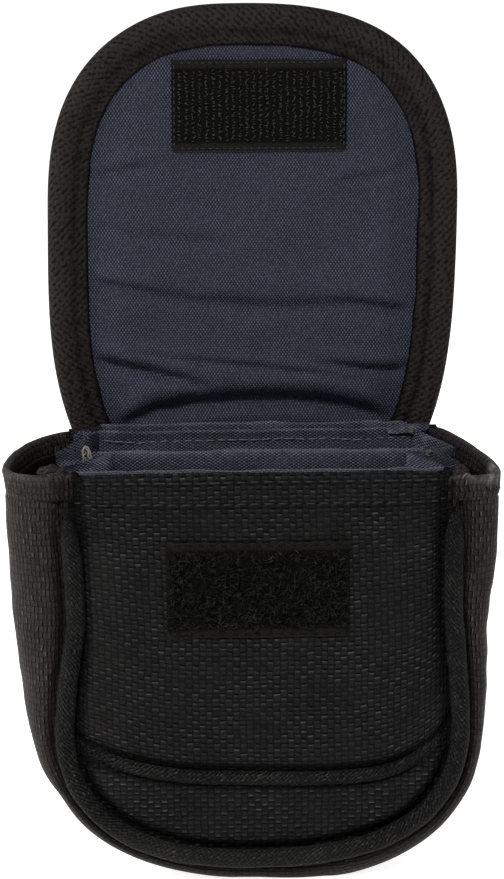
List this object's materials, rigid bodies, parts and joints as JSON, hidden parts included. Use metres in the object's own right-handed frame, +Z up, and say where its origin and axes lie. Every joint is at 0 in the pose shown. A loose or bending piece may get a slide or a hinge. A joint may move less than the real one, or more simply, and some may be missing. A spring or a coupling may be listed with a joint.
{
  "type": "lens filter case",
  "caption": "Soft rounded belt pouch for round lens filters, with concertina pockets, bulging side gusset, bound fold-over flap and hook-and-loop closure.",
  "frame": {"origin": "middle of the small flat under the gusset, on which the pouch stands", "axes": "+Z up, from the base to the tip of the open flap; +X to the right; the front with the loop tape faces -Y"},
  "size_m": [0.1296, 0.0516, 0.227],
  "materials": {
    "black_ballistic_nylon": "coarse brick-pattern woven nylon, satin",
    "black_piping": "fine woven tape over a cord, satin",
    "black_binding": "twill binding tape, matte",
    "black_webbing": "woven webbing, matte",
    "grey_lining": "fine plain-weave nylon, blue grey, satin",
    "black_lining": "fine plain-weave nylon, matte",
    "foam_padding": "closed-cell foam, matte",
    "hook_tape": "moulded nylon hooks on a woven tape",
    "loop_tape": "napped nylon loops on a woven tape"
  },
  "bodies": {
    "pouch": {"front_panel_upper": "black_ballistic_nylon", "front_panel_lower": "black_ballistic_nylon", "front_welt": "black_piping", "front_piping": "black_piping", "front_foam": "foam_padding", "front_lining": "grey_lining", "loop_tape": "loop_tape", "gusset": "black_ballistic_nylon", "gusset_lining": "black_lining", "divider_front": "grey_lining", "divider_middle": "grey_lining", "divider_rear": "grey_lining", "pleat_front": "grey_lining", "pleat_mid_front": "grey_lining", "pleat_mid_rear": "grey_lining", "pleat_rear": "grey_lining", "back_panel": "black_ballistic_nylon", "back_foam": "foam_padding", "back_lining": "grey_lining", "back_piping": "black_piping", "belt_loop": "black_webbing", "rear_fold": "black_ballistic_nylon"},
    "flap_bridge": {"flap_bridge_outer": "black_ballistic_nylon", "flap_bridge_foam": "foam_padding", "flap_bridge_lining": "grey_lining", "flap_bridge_binding_left": "black_binding", "flap_bridge_binding_right": "black_binding"},
    "flap_cover": {"flap_cover_outer": "black_ballistic_nylon", "flap_cover_foam": "foam_padding", "flap_cover_lining": "grey_lining", "flap_cover_binding": "black_binding", "front_fold": "black_ballistic_nylon", "hook_tape": "hook_tape"}
  },
  "joints": [
    {"name": "rear_flap_fold", "type": "hinge", "parent": "pouch", "child": "flap_bridge", "pos_m": [0, 0.0193, 0.1212], "axis": [1, 0, 0], "range_deg": [-90, 96]},
    {"name": "front_flap_fold", "type": "hinge", "parent": "flap_bridge", "child": "flap_cover", "pos_m": [0, 0.0193, 0.16836], "axis": [1, 0, 0], "range_deg": [0, 84]}
  ]
}
